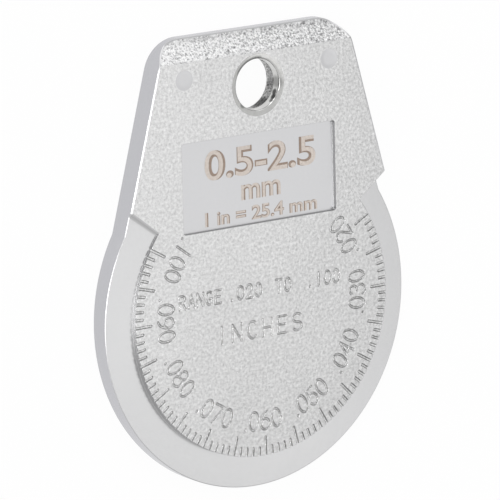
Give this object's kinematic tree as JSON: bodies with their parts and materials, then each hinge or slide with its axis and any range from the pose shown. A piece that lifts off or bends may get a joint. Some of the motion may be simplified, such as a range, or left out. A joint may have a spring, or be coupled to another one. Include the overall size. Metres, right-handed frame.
{
  "type": "spark plug gap gauge",
  "caption": "Round ramp gauge for spark plug gaps: a disc whose rim thickens around a raised dial with sunk scale marks, and a tapered tab with a key-ring hole.",
  "frame": {"origin": "centre of the disc on the flat back", "axes": "+Z out of the dial, +Y up the tab from the disc, +X to the thin end of the ramp"},
  "size_m": [0.042, 0.0526, 0.0029],
  "materials": {
    "plated_zinc": "bright plating over a zinc die casting: finely stippled on the dial, the tab and the bevel, smooth on the ramp, the sides and the label recess"
  },
  "bodies": {
    "root": {"gauge_body": "plated_zinc"}
  },
  "joints": []
}
